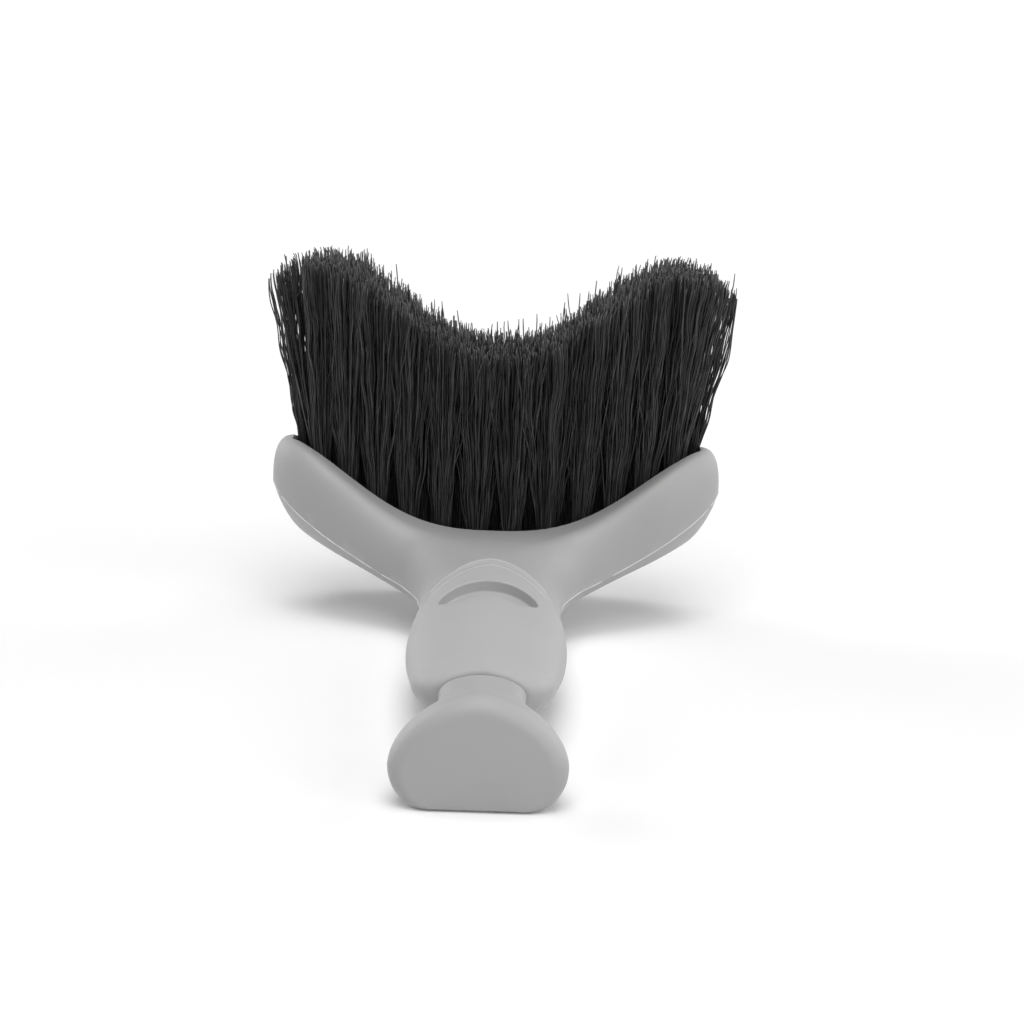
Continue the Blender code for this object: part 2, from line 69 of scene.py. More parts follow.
# Half widths, crest heights and clearances off the ground
GRIP_HALF_WIDTH = 0.0187
POMMEL_HALF_WIDTH = 0.0188
NECK_HALF_WIDTH = 0.0092
NECK_END_HALF_WIDTH = 0.0096
STEP_HALF_WIDTH = 0.0134
STEP_END_HALF_WIDTH = 0.0156
SHOULDER_HALF_WIDTH = 0.0163
COLLAR_HALF_WIDTH = 0.0173
HEAD_HALF_WIDTH = 0.0576
HEAD_BACK_HALF_WIDTH = 0.0360
GRIP_HEIGHT = 0.0256
POMMEL_HEIGHT = 0.0244
POMMEL_BACK_HEIGHT = 0.0239
DIP_HEIGHT = 0.0212
NECK_HEIGHT = 0.0200
NECK_END_HEIGHT = 0.0200
STEP_HEIGHT = 0.0214
SHOULDER_HEIGHT = 0.0228
COLLAR_HEIGHT = 0.0264
LIP_HEIGHT = 0.0245
HORN_RISE = 0.0220
NECK_LIFT = 0.0085
STEP_LIFT = 0.0080
SHOULDER_LIFT = 0.0066

# Outline of each horn, to its tip and round to the back: share of the way, share of the change in width
HORN_FRONT_SHARES = (
    (0.24, 0.02),
    (0.42, 0.12),
    (0.49, 0.27),
    (0.56, 0.45),
    (0.64, 0.66),
    (0.75, 0.84),
    (0.85, 0.94),
    (0.93, 0.985),
)
HORN_BACK_SHARES = (
    (0.18, 0.05),
    (0.36, 0.16),
    (0.55, 0.31),
    (0.73, 0.52),
    (0.91, 0.80),
)

# Parting line, underside and roundings
POMMEL_SIDE_HEIGHT = 0.0090
NECK_SIDE_HEIGHT = 0.0152
STEP_SIDE_HEIGHT = 0.0152
SHOULDER_SIDE_HEIGHT = 0.0138
GRIP_SIDE_HEIGHT = 0.0118
COLLAR_SIDE_HEIGHT = 0.0114
SIDE_CLIMB_FROM = 0.0175
SIDE_CLIMB_SLOPE = 0.465
HORN_TIP_CLIMB = 0.0042
HORN_TIP_POWER = 6
POMMEL_CORNER_SHARE = 0.40
GRIP_CORNER_SHARE = 0.70
FOOT_HALF_WIDTH = 0.0095
KEEL_FREE_AT = 0.0175
KEEL_SLOPE = 0.437
LIP_POWER = 1.4
HORN_EDGE_RADIUS = 0.0060
POMMEL_ROUNDNESS = 1.68
GRIP_ROUNDNESS = 2.0
HORN_ROUNDNESS = 2.8
CHAMFER_ROUNDNESS = 1.15
POMMEL_EDGE_RADIUS = 0.0038
HEAD_EDGE_RADIUS = 0.0040
FOOT_EDGE_SHARE = 0.25
BLOOM_START_AT = 0.1120
BLOOM_END_AT = 0.1460

# Mesh density of the moulding, and the angle from which an edge stays sharp
RIM_COLUMNS = 16
DECK_COLUMNS = 16
UNDER_RIM_COLUMNS = 10
UNDER_SLOPE_COLUMNS = 5
UNDER_TURN_COLUMNS = 5
UNDER_FOOT_COLUMNS = 4
NARROW_FREE_SHARE = 0.9
NARROW_FOOT_SHARE = 0.6
END_ROWS = 12
ROW_STEP = 0.0006
OUTLINE_STEPS = 1600
SLOPE_STEP = 0.0030
POINTS_AT_ONCE = 500
SMOOTH_ANGLE = math.radians(35.0)

# Grip sleeve and its seat in the moulding
GRIP_START_AT = 0.0342
GRIP_END_AT = 0.1080
GRIP_WALL = 0.0040
PIECE_GAP = 0.0003
SHELF_LENGTH = 0.0018
RAMP_LENGTH = 0.0022
FILLET_ROWS = 5
MOULD_LINE_HEIGHT = 0.00007

# Arch of the sleeve's front end: its bulge, how far its sides run back, and the rows that bend with it
SEAM_RISE = 0.0020
SEAM_DROP = 0.0120
SEAM_DROP_HALF_WIDTH = 0.0145
SEAM_POWER = 1.6
SHIFT_FROM_AT = 0.0700
SHIFT_TO_AT = 0.1300

# Grooves at both ends of the sleeve, with a channel and bands of painted highlight beside the front one
GROOVE_WIDTH = 0.0003
GROOVE_DEPTH = 0.0018
GROOVE_EDGE = 0.0003
NEAR_GROOVE_WIDTH = 0.0010
NEAR_GROOVE_EDGE = 0.0010
CHANNEL_DEPTH = 0.0007
CHANNEL_FLAT = 0.0007
CHANNEL_HALF_WIDTH = 0.0025
HIGHLIGHT_BAND_FROM = 0.0018
HANDLE_HIGHLIGHT_BAND_TO = 0.0032
SLEEVE_HIGHLIGHT_BAND_TO = 0.0044
HIGHLIGHT_BAND_HALF_WIDTH = 0.0140

# Recess in the grip's top
RECESS_AT = 0.0840
RECESS_HALF_WIDTH = 0.0116
RECESS_HALF_LENGTH = 0.0088
RECESS_DEPTH = 0.0031
RECESS_EDGE = 0.0005
RECESS_FOOT = 0.0007
RECESS_SIDES = 96
RECESS_RINGS = 10

# Flash left on the parting line of the arms, and the height from which it is painted pale as a glow of the
# light through it
FLASH_HEIGHT = 0.00022
FLASH_HALF_THICKNESS = 0.00012
FLASH_FROM_AT = 0.1200
FLASH_TO_AT = 0.1700
FLASH_FADE = 0.0030
FLASH_LUMP = 0.0008
FLASH_POWER = 1.5
FLASH_SEEN = 0.00003
NO_LENGTH = 1e-9

# Rows of tufts
FRONT_ROW_AT = 0.1529
ROW_PITCH = 0.0069
ROW_CURVE = 0.0060
ROW_CURVE_POWER = 3
ROW_TUFTS = (12, 13, 12, 11)
LONG_ROW_HALF_SPAN = 0.0495
LIP_STEPS = 800

# Sockets, and the tray that they open in
PLUG_RADIUS = 0.0024
PLUG_LENGTH = 0.0092
SOCKET_SIDES = 24
SOCKET_CLEARANCE = 0.0003
SOCKET_OVERRUN = 0.0045
MOUTH_DEPTH = 0.0012
TRAY_SINK = 0.0018
TRAY_MARGIN = 0.0005
TRAY_RIM = 0.0035
TRAY_BACK_RIM = 0.0045
TRAY_COLUMNS = 160
CUT_OVERRUN = 0.0100

# How tufts and filaments tilt
SPLAY = math.radians(10.5)
STRAND_SPLAY_LEFT = math.radians(5.6)
STRAND_SPLAY_RIGHT = math.radians(9.4)
INNER_SPLAY_SHARE = 0.2
SPLAY_POWER = 7
LEAN = math.radians(4.0)

# Trimmed face of the bristles: a valley between two humps
TIP_VALLEY_HEIGHT = 0.0700
TIP_RISE = 0.0214
TIP_HUMP_AT = 0.0465
TIP_END_AT = 0.0595
TIP_END_FALL = 0.0060
TIP_POWER = 1.10

# Filaments of one tuft, which gather into a few locks
FILAMENTS = 112
FILAMENT_RADIUS = 0.00017
FILAMENT_SIDES = 3
FILAMENT_POINTS = 34
FILAMENT_ROOT = 0.0040
TIP_SIZE = 0.75
FILAMENT_SPREAD = 2.3
LOCKS = 9
LOCK_PULL = 0.30
LOCK_LEAN = 0.0021
FILAMENT_LEAN = 0.0015
STRAY_SHARE = 0.08
STRAY_LEAN = 0.0044
STRAY_LENGTH = 0.0050
STRAY_POWER = 1.5
TRIM_ERROR = 0.0012
TRIM_PASSES = 3
BRISTLE_SEED = 11

# How filaments and locks wave, as (swing, length), and the range of each as a share of these
FILAMENT_WAVE = (0.00016, 0.0110)
LOCK_WAVE = (0.00032, 0.0200)
WAVE_SWINGS = (0.4, 1.5)
WAVE_LENGTHS = (0.75, 1.4)
WAVE_RAMP = 0.0100

# How close to the box round the solids a filament may come, and over what distance it is eased back
BOX_MARGIN = 0.0002
BOX_EASE = 0.0020

# Moulded plastic and rubber: tones and roughness from least to most, and the strength of grain and sinks
PLASTIC = {
    "tones": (0.38, 0.42),
    "roughness": (0.42, 0.56),
    "grain_scale": 1500.0,
    "grain": 0.25,
    "sinks": 0.05,
}
RUBBER = {
    "tones": (0.41, 0.445),
    "roughness": (0.52, 0.66),
    "grain_scale": 1900.0,
    "grain": 0.20,
    "sinks": 0.04,
}
MOULDED_SPECULAR = 0.45
DRIFT_SCALE = 38.0
DRIFT_DETAIL = 3.0
GRAIN_DETAIL = 2.0
GRAIN_HARSHNESS = 0.6
GRAIN_RANGE = (0.3, 0.7)
GRAIN_DEPTH = 0.00006
SINK_SCALE = 90.0
SINK_DETAIL = 1.0
SINK_DEPTH = 0.0004

# Flash, painted pale as a glow of the light through it, and the bands of painted highlight beside the seam
PAINTED_LIGHT_DETAIL = 2.0
FLASH_SCALE = 900.0
FLASH_GLOW_TONES = (0.62, 0.86)
FLASH_ROUGHNESS = 0.4
HIGHLIGHT_BAND_SCALE = 700.0
# The bands' pale tones are a painted highlight
HIGHLIGHT_BAND_TONES = (0.50, 0.62)
HIGHLIGHT_BAND_ROUGHNESS = (0.34, 0.48)

# Filament: fades between black and a painted highlight by noise over a plane of the filament's own shade and
# the height
FILAMENT_TONE_AND_HIGHLIGHT = (0.014, 0.085)
FILAMENT_ROUGHNESS = (0.56, 0.34)
FILAMENT_SPECULAR = 0.5
SHADE_SPAN = 90.0
FADE_SPAN = 13.0
FADE_HEIGHT = 0.1
FADE_SCALE = 1.0
FADE_DETAIL = 1.0
FADE_RANGE = (0.42, 0.76)

# Studio: pale floor, five soft lamps as (name, degrees round from the camera, degrees up, energy)
FLOOR_HALF_SIZE = 6.0
FLOOR_TONE = 0.92
FLOOR_GLOW = 0.10
LAMP_ANGLE = math.radians(45.0)
LAMPS = (
    ("top", 0, 88, 1.24),
    ("front", 0, 55, 1.31),
    ("right", 60, 22, 0.68),
    ("back_right", 120, 22, 0.68),
    ("back_left", 240, 22, 0.96),
)

# Camera, as the photograph was taken
CAMERA_PLACE = (0.0090, -0.6385, 0.1892)
CAMERA_YAW = math.radians(-0.37)
CAMERA_PITCH = math.radians(12.89)
CAMERA_ROLL = math.radians(1.70)
CAMERA_LENS = 98.44
CAMERA_SENSOR = 36.0


def blend(start, end, share):
    """The value this share of the way from start to end."""
    return start + (end - start) * share


WIDTH_KEYS = (
    (0.0, POMMEL_HALF_WIDTH),
    (POMMEL_FULL_AT, POMMEL_HALF_WIDTH),
    (NECK_AT, NECK_HALF_WIDTH),
    (NECK_END_AT, NECK_END_HALF_WIDTH),
    (STEP_AT, STEP_HALF_WIDTH),
    (STEP_END_AT, STEP_END_HALF_WIDTH),
    (SHOULDER_AT, SHOULDER_HALF_WIDTH),
    (GRIP_MIDDLE_AT, GRIP_HALF_WIDTH),
    (COLLAR_AT, COLLAR_HALF_WIDTH),
    *(
        (blend(COLLAR_AT, HORN_TIP_AT, way), blend(COLLAR_HALF_WIDTH, HEAD_HALF_WIDTH, widening))
        for way, widening in HORN_FRONT_SHARES
    ),
    (HORN_TIP_AT, HEAD_HALF_WIDTH),
    *(
        (blend(HORN_TIP_AT, HEAD_BACK_AT, way), blend(HEAD_HALF_WIDTH, HEAD_BACK_HALF_WIDTH, narrowing))
        for way, narrowing in HORN_BACK_SHARES
    ),
    (HEAD_BACK_AT, HEAD_BACK_HALF_WIDTH),
)
CREST_KEYS = (
    (0.0, POMMEL_HEIGHT),
    (POMMEL_FULL_AT, POMMEL_HEIGHT),
    (POMMEL_BACK_AT, POMMEL_BACK_HEIGHT),
    (DIP_AT, DIP_HEIGHT),
    (NECK_AT, NECK_HEIGHT),
    (NECK_END_AT, NECK_END_HEIGHT),
    (STEP_AT, STEP_HEIGHT),
    (SHOULDER_AT, SHOULDER_HEIGHT),
    (GRIP_MIDDLE_AT, GRIP_HEIGHT),
    (COLLAR_AT, COLLAR_HEIGHT),
    (BLOOM_END_AT, LIP_HEIGHT),
    (HEAD_BACK_AT, LIP_HEIGHT),
)
LIFT_KEYS = (
    (0.0, 0.0),
    (POMMEL_FULL_AT, 0.0),
    (NECK_AT, NECK_LIFT),
    (STEP_AT, STEP_LIFT),
    (SHOULDER_AT, SHOULDER_LIFT),
    (GRIP_MIDDLE_AT, 0.0),
    (HEAD_BACK_AT, 0.0),
)
SIDE_KEYS = (
    (0.0, POMMEL_SIDE_HEIGHT),
    (POMMEL_FULL_AT, POMMEL_SIDE_HEIGHT),
    (NECK_AT, NECK_SIDE_HEIGHT),
    (STEP_AT, STEP_SIDE_HEIGHT),
    (SHOULDER_AT, SHOULDER_SIDE_HEIGHT),
    (GRIP_MIDDLE_AT, GRIP_SIDE_HEIGHT),
    (COLLAR_AT, COLLAR_SIDE_HEIGHT),
    (HEAD_BACK_AT, COLLAR_SIDE_HEIGHT),
)
CORNER_KEYS = (
    (0.0, POMMEL_CORNER_SHARE),
    (POMMEL_FULL_AT, POMMEL_CORNER_SHARE),
    (NECK_AT, GRIP_CORNER_SHARE),
    (HEAD_BACK_AT, GRIP_CORNER_SHARE),
)
ROUNDNESS_KEYS = (
    (0.0, POMMEL_ROUNDNESS),
    (POMMEL_FULL_AT, POMMEL_ROUNDNESS),
    (NECK_AT, GRIP_ROUNDNESS),
    (HEAD_BACK_AT, GRIP_ROUNDNESS),
)


# The moulding's surface
def smooth_step(start, end, at):
    share = np.clip((np.asarray(at, float) - start) / (end - start), 0.0, 1.0)
    return share * share * (3 - 2 * share)


def eased(keys, at):
    """A smooth curve through the keys that never swings past them, level at both ends."""
    places, values = np.array(keys).T
    steps = np.diff(places)
    slopes = np.diff(values) / steps
    tangents = np.zeros(len(keys))
    before, after = slopes[:-1], slopes[1:]
    rising = before * after > 0
    tangents[1:-1][rising] = 2 * before[rising] * after[rising] / (before + after)[rising]
    at = np.asarray(at, float)
    index = np.clip(np.searchsorted(places, at) - 1, 0, len(steps) - 1)
    step = steps[index]
    t = np.clip((at - places[index]) / step, 0.0, 1.0)
    curve = values[index] * (1 + 2 * t) * (1 - t) ** 2 + values[index + 1] * t * t * (3 - 2 * t)
    return curve + step * (tangents[index] * t * (1 - t) ** 2 - tangents[index + 1] * t * t * (1 - t))


def half_width(along):
    return eased(WIDTH_KEYS, along)


def bloom(along):
    """How far the round handle has opened into the horned head, from 0 to 1."""
    return smooth_step(BLOOM_START_AT, BLOOM_END_AT, along)


def deck_height(x, along):
    """Top surface before its edges are rounded."""
    share = np.minimum(np.abs(x) / HEAD_HALF_WIDTH, 1.0)
    climb = np.sin(math.pi / 2 * share**LIP_POWER) ** 2
    return eased(CREST_KEYS, along) + bloom(along) * HORN_RISE * climb


def keel_height(x, along):
    """Underside before its edges are rounded."""
    climb = KEEL_SLOPE * np.abs(x) * smooth_step(FOOT_HALF_WIDTH, KEEL_FREE_AT, np.abs(x))
    return eased(LIFT_KEYS, along) + bloom(along) * climb


def parting_height(x, along):
    """Height of the mould's parting line at the outline."""
    past = np.maximum(np.abs(x) - SIDE_CLIMB_FROM, 0.0)
    share = past / (HEAD_HALF_WIDTH - SIDE_CLIMB_FROM)
    climb = SIDE_CLIMB_SLOPE * past + HORN_TIP_CLIMB * share**HORN_TIP_POWER
    return eased(SIDE_KEYS, along) + bloom(along) * climb


def rounding(depth, radius, power):
    """Share of the full height reached at this depth inside the outline."""
    share = np.clip(depth / radius, 0.0, 1.0)
    return (1 - (1 - share) ** power) ** (1 / power)


OUTLINE_AT = np.linspace(0, HEAD_BACK_AT, OUTLINE_STEPS)
OUTLINE = np.stack([half_width(OUTLINE_AT), OUTLINE_AT], axis=1)


def depth_inside(places):
    """Distance from places inside the moulding, as (x, along), to its outline seen from above."""
    shape = places.shape[:-1]
    flat = np.abs(places.reshape(-1, 2))
    starts, edges = OUTLINE[:-1], np.diff(OUTLINE, axis=0)
    squares = (edges * edges).sum(axis=1)
    depths = np.empty(len(flat))
    for first in range(0, len(flat), POINTS_AT_ONCE):
        reach = flat[first : first + POINTS_AT_ONCE, None] - starts
        share = np.clip((reach * edges).sum(axis=2) / squares, 0, 1)
        away = reach - edges * share[..., None]
        depths[first : first + POINTS_AT_ONCE] = np.sqrt((away * away).sum(axis=2).min(axis=1))
    return depths.reshape(shape)


def top_height(places, inset, depth):
    """Height of the top skin, rounded down to the parting line at the outline."""
    x, along = places[..., 0], places[..., 1]
    opened = bloom(along)
    radius = blend(half_width(along) - inset, HORN_EDGE_RADIUS, opened)
    power = blend(eased(ROUNDNESS_KEYS, along), HORN_ROUNDNESS, opened)
    side = parting_height(x, along)
    rise = deck_height(x, along) - inset - side
    return side + rise * rounding(depth, radius, power)


def under_height(places, inset, foot_inset, depth):
    """Height of the underside, rounded up to the parting line on the handle and chamfered on the head."""
    x, along = places[..., 0], places[..., 1]
    opened = bloom(along)
    corner = eased(CORNER_KEYS, along) * (half_width(along) - inset)
    radius = blend(corner, HORN_EDGE_RADIUS, opened)
    power = blend(GRIP_ROUNDNESS, CHAMFER_ROUNDNESS, opened)
    side = parting_height(x, along)
    drop = side - keel_height(x, along) - foot_inset
    return side - drop * rounding(depth, radius, power)


def edge_places(along, depths):
    """Places at these depths inside the outline, square to it on the head and across on the handle."""
    slope = (half_width(along + SLOPE_STEP) - half_width(along - SLOPE_STEP)) / (2 * SLOPE_STEP)
    turned = bloom(along) * (1 - smooth_step(HORN_TIP_AT, HEAD_BACK_AT - HEAD_EDGE_RADIUS, along))
    inward = np.array((-1.0, float(slope * turned)))
    inward /= np.linalg.norm(inward)
    return np.array((float(half_width(along)), along)) + np.outer(depths, inward)


def quarter_turns(count):
    return math.pi / 2 * np.arange(count + 1) / count


def handle_places(along, inset, count):
    turns = quarter_turns(count)
    width = float(half_width(along)) - inset
    return np.stack([width * np.cos(turns), np.full(count + 1, along)], axis=1)


def rim_places(along, inset, count):
    return edge_places(along, inset + HORN_EDGE_RADIUS * (1 - np.cos(quarter_turns(count))))


def across(xs, along):
    return np.stack([np.asarray(xs, float), np.full(len(xs), along)], axis=1)


def top_places(along, inset):
    rim = rim_places(along, inset, RIM_COLUMNS)
    x, y = rim[-1]
    shares = np.arange(1, DECK_COLUMNS + 1) / DECK_COLUMNS
    head = np.concatenate([rim, across(x * (1 - shares), y)])
    return blend(handle_places(along, inset, len(head) - 1), head, float(bloom(along)))


def under_places(along, inset):
    rim = rim_places(along, inset, UNDER_RIM_COLUMNS)
    x, y = rim[-1]
    free = min(KEEL_FREE_AT, x * NARROW_FREE_SHARE)
    foot = min(FOOT_HALF_WIDTH, x * NARROW_FOOT_SHARE)
    slope = np.linspace(x, free, UNDER_SLOPE_COLUMNS + 1)[1:]
    turn = np.linspace(free, foot, UNDER_TURN_COLUMNS + 1)[1:]
    level = np.linspace(foot, 0, UNDER_FOOT_COLUMNS + 1)[1:]
    head = np.concatenate([rim, across(np.concatenate([slope, turn, level]), y)])
    return blend(handle_places(along, inset, len(head) - 1), head, float(bloom(along)))


def shifted(places):
    """Moves the rows near the collar so that they run along the arch of the sleeve's front end."""
    x, along = places[..., 0], places[..., 1]
    rising = smooth_step(SHIFT_FROM_AT, GRIP_END_AT, along)
    window = rising * (1 - smooth_step(GRIP_END_AT, SHIFT_TO_AT, along))
    shift = SEAM_RISE - SEAM_DROP * np.abs(x / SEAM_DROP_HALF_WIDTH) ** SEAM_POWER
    moved = along + shift * window
    return np.stack([x * half_width(moved) / half_width(along), moved], axis=-1)


def sections(rows):
    """Rings of points round the moulding, one for each row of (along, end inset, depth below the skin).

    Returns the rings as (row, point, xyz), with the number of the point on the right edge.
    """
    rows = np.array(rows, float)
    inset = rows[:, 1] + rows[:, 2]
    foot_inset = (rows[:, 2] + FOOT_EDGE_SHARE * rows[:, 1])[:, None]
    cuts = list(zip(rows[:, 0], inset))
    tops = shifted(np.stack([top_places(*place) for place in cuts]))
    unders = shifted(np.stack([under_places(*place) for place in cuts]))
    edge = depth_inside(tops[:, 0])[:, None]
    top_z = top_height(tops, inset[:, None], depth_inside(tops) - edge)
    under_z = under_height(unders, inset[:, None], foot_inset, depth_inside(unders) - edge)
    top = np.concatenate([tops, top_z[..., None]], axis=2)
    under = np.concatenate([unders, under_z[..., None]], axis=2)
    right = np.concatenate([under[:, :0:-1], top], axis=1)
    right[..., 1] -= HANDLE_MIDDLE
    left = right[:, -2:0:-1] * (-1, 1, 1)
    return np.concatenate([right, left], axis=1), unders.shape[1] - 1


# Mesh helpers
def new_piece(name, points, faces, materials=(), face_materials=None):
    mesh = bpy.data.meshes.new(name)
    mesh.from_pydata(points, [], faces)
    for made in materials:
        mesh.materials.append(made)
    if face_materials is not None:
        mesh.polygons.foreach_set("material_index", face_materials)
    mesh.update()
    piece = bpy.data.objects.new(name, mesh)
    bpy.context.scene.collection.objects.link(piece)
    return piece


def quads(rows, columns, closed):
    """Faces of a grid that is closed round its columns, and round its rows too if asked."""
    last = rows if closed else rows - 1
    near = np.arange(last)[:, None] * columns
    far = (np.arange(last) + 1)[:, None] % rows * columns
    here = np.arange(columns)[None, :]
    there = (here + 1) % columns
    faces = np.stack([near + here, near + there, far + there, far + here], axis=-1)
    return faces.reshape(-1, 4).tolist()


def end_faces(rows, columns):
    """The two faces that close the first and the last row of a grid."""
    last = (rows - 1) * columns
    return [list(range(columns)), list(range(last, last + columns))]


def face_outwards(piece):
    bm = bmesh.new()
    bm.from_mesh(piece.data)
    bmesh.ops.recalc_face_normals(bm, faces=bm.faces)
    bm.to_mesh(piece.data)
    bm.free()


def cut(piece, cutter):
    """Takes the cutter out of the piece and removes it."""
    modifier = piece.modifiers.new("cut", "BOOLEAN")
    modifier.operation = "DIFFERENCE"
    modifier.solver = "EXACT"
    modifier.object = cutter
    bpy.context.view_layer.update()
    shaped = piece.evaluated_get(bpy.context.evaluated_depsgraph_get())
    mesh = bpy.data.meshes.new_from_object(shaped)
    piece.modifiers.clear()
    piece.data = mesh
    bpy.data.objects.remove(cutter)


def smooth(piece):
    piece.data.shade_smooth()
    piece.data.set_sharp_from_angle(angle=SMOOTH_ANGLE)


def hand_over(piece, node):
    """Tells the frame what the piece rides on, and hides the node that it is shown for."""
    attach(piece, "root")
    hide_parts(node)


# Materials, with the sockets of a Mix node that mixes colours
MIX_FACTOR = 0
MIX_FIRST = 6
MIX_SECOND = 7
MIX_RESULT = 2


def new_material(name):
    made = bpy.data.materials.new(name)
    made.use_nodes = True
    return made, made.node_tree, made.node_tree.nodes["Principled BSDF"]


def grey(tone):
    return tone, tone, tone, 1.0


def object_place(tree):
    return tree.nodes.new("ShaderNodeTexCoord").outputs["Object"]


def noise(tree, place, scale, detail, harshness=0.5):
    """Noise with about this many cells to a unit of the place."""
    node = tree.nodes.new("ShaderNodeTexNoise")
    node.inputs["Scale"].default_value = scale
    node.inputs["Detail"].default_value = detail
    node.inputs["Roughness"].default_value = harshness
    tree.links.new(place, node.inputs["Vector"])
    return node.outputs["Fac"]


def value_range(tree, source, wanted, given=(0.0, 1.0)):
    """The source with its given range, as (from, to), stretched to the wanted one."""
    node = tree.nodes.new("ShaderNodeMapRange")
    node.inputs["From Min"].default_value = given[0]
    node.inputs["From Max"].default_value = given[1]
    node.inputs["To Min"].default_value = wanted[0]
    node.inputs["To Max"].default_value = wanted[1]
    tree.links.new(source, node.inputs["Value"])
    return node.outputs["Result"]


def tone_between(tree, factor, tones):
    node = tree.nodes.new("ShaderNodeMix")
    node.data_type = "RGBA"
    node.inputs[MIX_FIRST].default_value = grey(tones[0])
    node.inputs[MIX_SECOND].default_value = grey(tones[1])
    tree.links.new(factor, node.inputs[MIX_FACTOR])
    return node.outputs[MIX_RESULT]


def bump(tree, height, depth, strength, before=None):
    node = tree.nodes.new("ShaderNodeBump")
    node.inputs["Distance"].default_value = depth
    node.inputs["Strength"].default_value = strength
    tree.links.new(height, node.inputs["Height"])
    if before is not None:
        tree.links.new(before, node.inputs["Normal"])
    return node.outputs["Normal"]


def moulded_surface(name, tones, roughness, grain_scale, grain, sinks):
    """Moulded plastic or rubber: faint drifts of tone, a fine spark-eroded grain and slight sink marks."""
    made, tree, shader = new_material(name)
    place = object_place(tree)
    drift = noise(tree, place, DRIFT_SCALE, DRIFT_DETAIL)
    fine = noise(tree, place, grain_scale, GRAIN_DETAIL, GRAIN_HARSHNESS)
    wide = noise(tree, place, SINK_SCALE, SINK_DETAIL)
    sunk = bump(tree, wide, SINK_DEPTH, sinks)
    tree.links.new(tone_between(tree, drift, tones), shader.inputs["Base Color"])
    tree.links.new(value_range(tree, fine, roughness, GRAIN_RANGE), shader.inputs["Roughness"])
    tree.links.new(bump(tree, fine, GRAIN_DEPTH, grain, sunk), shader.inputs["Normal"])
    shader.inputs["Specular IOR Level"].default_value = MOULDED_SPECULAR
    return made


def flash_surface():
    """Thin moulding flash, painted paler than the plastic: a painted glow of the light that passes through
    it.
    """
    made, tree, shader = new_material("flash")
    ragged = noise(tree, object_place(tree), FLASH_SCALE, PAINTED_LIGHT_DETAIL)
    tree.links.new(tone_between(tree, ragged, FLASH_GLOW_TONES), shader.inputs["Base Color"])
    shader.inputs["Roughness"].default_value = FLASH_ROUGHNESS
    return made


def painted_highlight_surface():
    """Bands on both sides of the seam, smoother than the skin around them and paler with a painted
    highlight.
    """
    made, tree, shader = new_material("seam_painted_highlight")
    highlight_patches = noise(tree, object_place(tree), HIGHLIGHT_BAND_SCALE, PAINTED_LIGHT_DETAIL)
    tree.links.new(tone_between(tree, highlight_patches, HIGHLIGHT_BAND_TONES), shader.inputs["Base Color"])
    tree.links.new(value_range(tree, highlight_patches, HIGHLIGHT_BAND_ROUGHNESS), shader.inputs["Roughness"])
    return made


def filament_surface():
    """Black synthetic filament with painted highlights: each one has its own pattern of paler stretches,
    which come and go along it.
    """
    made, tree, shader = new_material("filament")
    shade = tree.nodes.new("ShaderNodeAttribute")
    shade.attribute_name = "shade"
    split = tree.nodes.new("ShaderNodeSeparateXYZ")
    tree.links.new(object_place(tree), split.inputs[0])
    height = value_range(tree, split.outputs["Z"], (0.0, FADE_SPAN), (0.0, FADE_HEIGHT))
    plane = tree.nodes.new("ShaderNodeCombineXYZ")
    tree.links.new(value_range(tree, shade.outputs["Fac"], (0.0, SHADE_SPAN)), plane.inputs["X"])
    tree.links.new(height, plane.inputs["Z"])
    highlight_noise = noise(tree, plane.outputs["Vector"], FADE_SCALE, FADE_DETAIL)
    filament_highlight = value_range(tree, highlight_noise, (0.0, 1.0), FADE_RANGE)
    # The paler stretches along each filament are painted highlights
    tree.links.new(tone_between(tree, filament_highlight, FILAMENT_TONE_AND_HIGHLIGHT), shader.inputs["Base Color"])
    tree.links.new(value_range(tree, filament_highlight, FILAMENT_ROUGHNESS), shader.inputs["Roughness"])
    shader.inputs["Specular IOR Level"].default_value = FILAMENT_SPECULAR
    return made


# Rigid pieces
def evenly(start, end):
    """Places from the start up to, but not at, the end, at most ROW_STEP apart."""
    count = max(1, math.ceil((end - start) / ROW_STEP))
    return [blend(start, end, step / count) for step in range(count)]


def end_rows(edge_at, inwards, radius):
    """Rows of a rounded end face, from its rim to where the full section starts."""
    return [
        (edge_at + inwards * radius * (1 - math.cos(turn)), radius * (1 - math.sin(turn)), 0.0)
        for turn in quarter_turns(END_ROWS)
    ]


def edge_down(at, towards, depth, radius):
    """Rows over a rounded edge and down into a groove at this place."""
    return [
        (at - towards * radius * (1 - math.sin(turn)), 0.0, depth + radius * (1 - math.cos(turn)))
        for turn in quarter_turns(FILLET_ROWS)
    ]


def channel_depth(away):
    """Depth of the shallow channel on both sides of the seam, this far away from its gap."""
    return CHANNEL_DEPTH * (1 - float(smooth_step(CHANNEL_FLAT, CHANNEL_HALF_WIDTH, away)))


